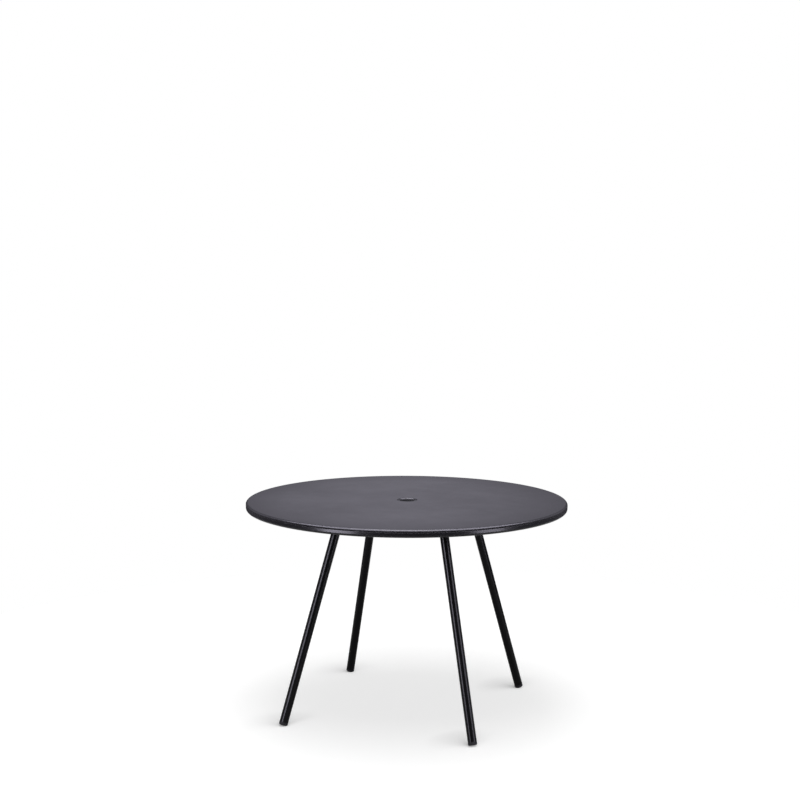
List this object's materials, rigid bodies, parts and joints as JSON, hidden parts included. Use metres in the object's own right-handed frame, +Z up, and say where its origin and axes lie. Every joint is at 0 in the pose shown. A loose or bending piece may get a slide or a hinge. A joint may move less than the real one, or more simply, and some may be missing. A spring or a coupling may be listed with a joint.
{
  "type": "umbrella table",
  "caption": "Round metal garden table with a deep rounded rim, a sunken collar for a parasol pole in its middle, splayed round tube legs and screw-in levelling glides.",
  "frame": {"origin": "on the floor under the middle of the tabletop, level with the lowest points of the four glides", "axes": "+Z up along the parasol pole, -Y to the front, +X to the right; the legs lean out along the diagonals between X and Y"},
  "size_m": [1.1, 1.1, 0.74],
  "materials": {
    "coated_top": "near-black powder coating, fine texture, satin",
    "coated_frame": "black powder coating, fine texture, satin",
    "black_moulding": "moulded plastic, fine satin grain",
    "stainless": "plain stainless steel"
  },
  "bodies": {
    "table": {"top_sheet": "coated_top", "rim_hoop": "coated_top", "parasol_collar": "black_moulding", "collar_nut": "black_moulding", "long_rail_front": "coated_frame", "long_rail_back": "coated_frame", "cross_rail_left": "coated_frame", "cross_rail_right": "coated_frame", "stub_arm_back_right": "coated_frame", "stub_arm_back_left": "coated_frame", "stub_arm_front_left": "coated_frame", "stub_arm_front_right": "coated_frame", "rail_end_caps": "black_moulding", "leg_flange_back_right": "coated_frame", "leg_tube_back_right": "coated_frame", "leg_insert_back_right": "black_moulding", "leg_flange_back_left": "coated_frame", "leg_tube_back_left": "coated_frame", "leg_insert_back_left": "black_moulding", "leg_flange_front_left": "coated_frame", "leg_tube_front_left": "coated_frame", "leg_insert_front_left": "black_moulding", "leg_flange_front_right": "coated_frame", "leg_tube_front_right": "coated_frame", "leg_insert_front_right": "black_moulding", "leg_screws": "stainless", "rivet_nuts": "stainless", "top_studs": "stainless", "stud_nuts": "stainless"},
    "glide_back_right": {"glide_foot_back_right": "black_moulding", "glide_stem_back_right": "stainless"},
    "glide_back_left": {"glide_foot_back_left": "black_moulding", "glide_stem_back_left": "stainless"},
    "glide_front_left": {"glide_foot_front_left": "black_moulding", "glide_stem_front_left": "stainless"},
    "glide_front_right": {"glide_foot_front_right": "black_moulding", "glide_stem_front_right": "stainless"}
  },
  "joints": [
    {"name": "level_back_right", "type": "slide", "parent": "table", "child": "glide_back_right", "axis": [0.2091, 0.2091, -0.9553], "range_m": [0, 0.008]},
    {"name": "level_back_left", "type": "slide", "parent": "table", "child": "glide_back_left", "axis": [-0.2091, 0.2091, -0.9553], "range_m": [0, 0.008]},
    {"name": "level_front_left", "type": "slide", "parent": "table", "child": "glide_front_left", "axis": [-0.2091, -0.2091, -0.9553], "range_m": [0, 0.008]},
    {"name": "level_front_right", "type": "slide", "parent": "table", "child": "glide_front_right", "axis": [0.2091, -0.2091, -0.9553], "range_m": [0, 0.008]}
  ]
}
